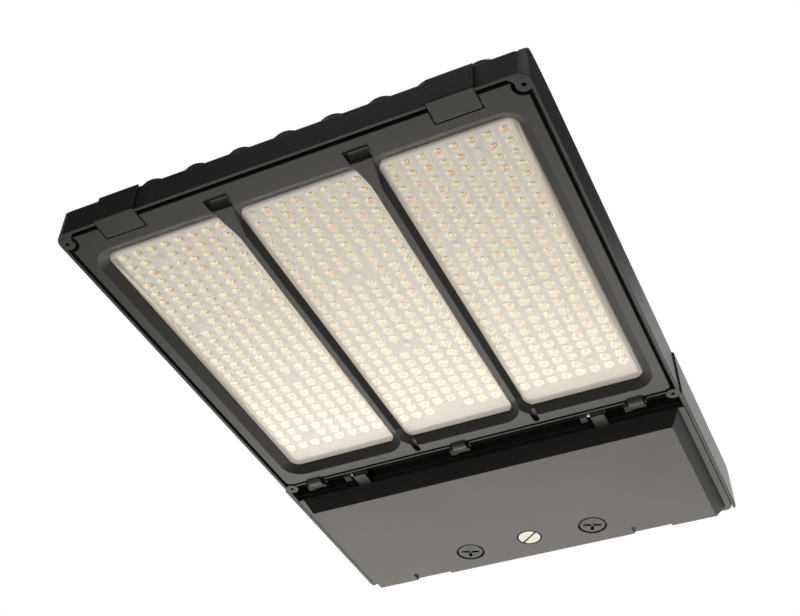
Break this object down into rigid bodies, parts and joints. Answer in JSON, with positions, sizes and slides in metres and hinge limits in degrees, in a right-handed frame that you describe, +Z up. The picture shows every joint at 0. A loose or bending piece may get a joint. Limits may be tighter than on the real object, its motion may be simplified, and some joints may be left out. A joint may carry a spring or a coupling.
{
  "type": "shoebox area light",
  "caption": "Pole-mounted shoebox area light: finned die-cast housing, hinged lens frame over domed lens plates, and a rear driver box with its own hinged door.",
  "frame": {"origin": "centre of the rear arm face, in the middle of the four arm bolts", "axes": "+Y out of the arm face towards the pole arm, +Z up, +X to the right seen from the front; the light shines towards -Z"},
  "size_m": [0.3428, 0.4955, 0.0533],
  "materials": {
    "housing_paint": "satin powder coat",
    "frame_paint": "satin powder coat",
    "latch_paint": "satin powder coat",
    "door_paint": "satin powder coat",
    "steel": "plain",
    "black_screw": "black oxide",
    "nickel": "satin nickel plate",
    "black_rubber": "matt",
    "white_rubber": "matt",
    "clear_lens": "clear, gloss",
    "board_white": "white mask",
    "pad_grey": "matt",
    "lead_white": "insulation",
    "lead_black": "insulation",
    "driver_case": "satin",
    "module_white": "moulded",
    "ground_green": "dyed"
  },
  "bodies": {
    "fixture": {"housing": "housing_paint", "hinge_pins": "steel", "lens_plate_left": "clear_lens", "lens_plate_middle": "clear_lens", "lens_plate_right": "clear_lens", "lens_gaskets": "white_rubber", "lens_screws": "steel", "led_board_left": "board_white", "led_board_middle": "board_white", "led_board_right": "board_white", "board_screws": "steel", "thermal_pads": "pad_grey", "led_leads": "lead_white", "lead_grommets": "black_rubber", "led_driver_left": "driver_case", "led_driver_right": "driver_case", "driver_screws": "steel", "surge_protector": "module_white", "terminal_block": "module_white", "supply_leads": "lead_black", "ground_screw": "ground_green", "wire_bushing": "black_rubber"},
    "frame_door": {"lens_frame": "frame_paint", "frame_gasket": "black_rubber", "latch_pins": "steel"},
    "latch_left": {"latch_left": "latch_paint"},
    "latch_right": {"latch_right": "latch_paint"},
    "driver_door": {"driver_door": "door_paint", "door_gasket": "black_rubber", "door_screw_retainers": "steel"},
    "door_screw_left": {"door_screw_left": "black_screw"},
    "door_screw_right": {"door_screw_right": "black_screw"},
    "sensor_plug": {"sensor_plug": "nickel", "plug_seal": "black_rubber"}
  },
  "joints": [
    {"name": "lens_frame_hinge", "type": "hinge", "parent": "fixture", "child": "frame_door", "pos_m": [0, -0.1645, -0.016], "axis": [1, 0, 0], "range_deg": [0, 58]},
    {"name": "driver_door_hinge", "type": "hinge", "parent": "fixture", "child": "driver_door", "pos_m": [0, -0.1645, -0.016], "axis": [-1, 0, 0], "range_deg": [0, 60]},
    {"name": "latch_left_hinge", "type": "hinge", "parent": "frame_door", "child": "latch_left", "pos_m": [-0.1207, -0.4808, -0.0191], "axis": [1, 0, 0], "range_deg": [0, 75]},
    {"name": "latch_right_hinge", "type": "hinge", "parent": "frame_door", "child": "latch_right", "pos_m": [0.1207, -0.4808, -0.0191], "axis": [1, 0, 0], "range_deg": [0, 75]},
    {"name": "door_screw_left_turn", "type": "hinge", "parent": "driver_door", "child": "door_screw_left", "pos_m": [-0.056, -0.0395, -0.0335], "axis": [0, 0, 1], "continuous": true},
    {"name": "door_screw_right_turn", "type": "hinge", "parent": "driver_door", "child": "door_screw_right", "pos_m": [0.056, -0.0395, -0.0335], "axis": [0, 0, 1], "continuous": true},
    {"name": "sensor_plug_turn", "type": "hinge", "parent": "driver_door", "child": "sensor_plug", "pos_m": [0, -0.0422, -0.0335], "axis": [0, 0, 1], "continuous": true}
  ]
}
